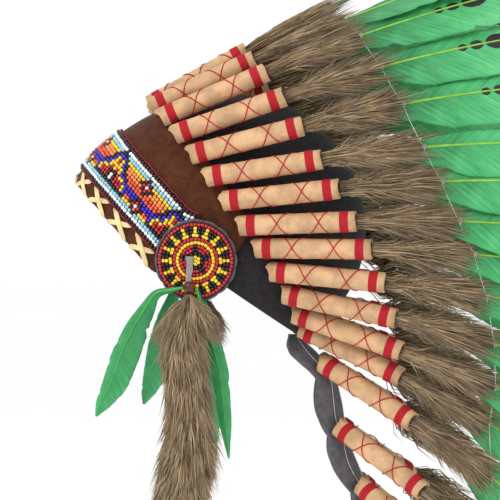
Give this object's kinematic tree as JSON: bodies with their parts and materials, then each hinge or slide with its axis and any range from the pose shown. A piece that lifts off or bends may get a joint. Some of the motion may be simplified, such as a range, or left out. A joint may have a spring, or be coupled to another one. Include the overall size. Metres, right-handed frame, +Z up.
{
  "type": "feathered headdress",
  "caption": "Feathered headdress: felt skull cap with a beaded brow band and rosettes, green plumes in leather sleeves, a plume trailer at the nape and fur drops at the temples.",
  "frame": {"origin": "top of the head hollow, where the cap sits on the crown of the head", "axes": "+Z up, +X towards the back of the head, -Y towards the wearer's left"},
  "size_m": [0.5581, 0.479, 0.8421],
  "materials": {
    "felt": "matte",
    "grey_felt": "matte",
    "suede": "matte",
    "buff_hide": "satin",
    "grey_hide": "satin",
    "beads": "gloss",
    "tie_bead": "gloss",
    "fur": "matte",
    "plume": "satin"
  },
  "bodies": {
    "root": {"skull_cap": "felt", "brow_panel": "suede", "bead_band": "beads", "brow_lacing": "buff_hide", "trailer": "grey_felt", "plume_centre": "plume", "plume_left_01": "plume", "plume_left_02": "plume", "plume_left_03": "plume", "plume_left_04": "plume", "plume_left_05": "plume", "plume_left_06": "plume", "plume_left_07": "plume", "plume_left_08": "plume", "plume_left_09": "plume", "plume_left_10": "plume", "plume_left_11": "plume", "plume_left_12": "plume", "trailer_plume_left_1": "plume", "trailer_plume_left_2": "plume", "trailer_plume_left_3": "plume", "trailer_plume_left_4": "plume", "rosette_backing_left": "grey_felt", "rosette_left": "beads", "thong_left": "grey_hide", "tie_bead_left": "tie_bead", "fur_drop_left": "fur", "drop_feather_left_fore": "plume", "drop_feather_left_aft": "plume", "plume_right_01": "plume", "plume_right_02": "plume", "plume_right_03": "plume", "plume_right_04": "plume", "plume_right_05": "plume", "plume_right_06": "plume", "plume_right_07": "plume", "plume_right_08": "plume", "plume_right_09": "plume", "plume_right_10": "plume", "plume_right_11": "plume", "plume_right_12": "plume", "trailer_plume_right_1": "plume", "trailer_plume_right_2": "plume", "trailer_plume_right_3": "plume", "trailer_plume_right_4": "plume", "rosette_backing_right": "grey_felt", "rosette_right": "beads", "thong_right": "grey_hide", "tie_bead_right": "tie_bead", "fur_drop_right": "fur", "drop_feather_right_fore": "plume", "drop_feather_right_aft": "plume"}
  },
  "joints": []
}
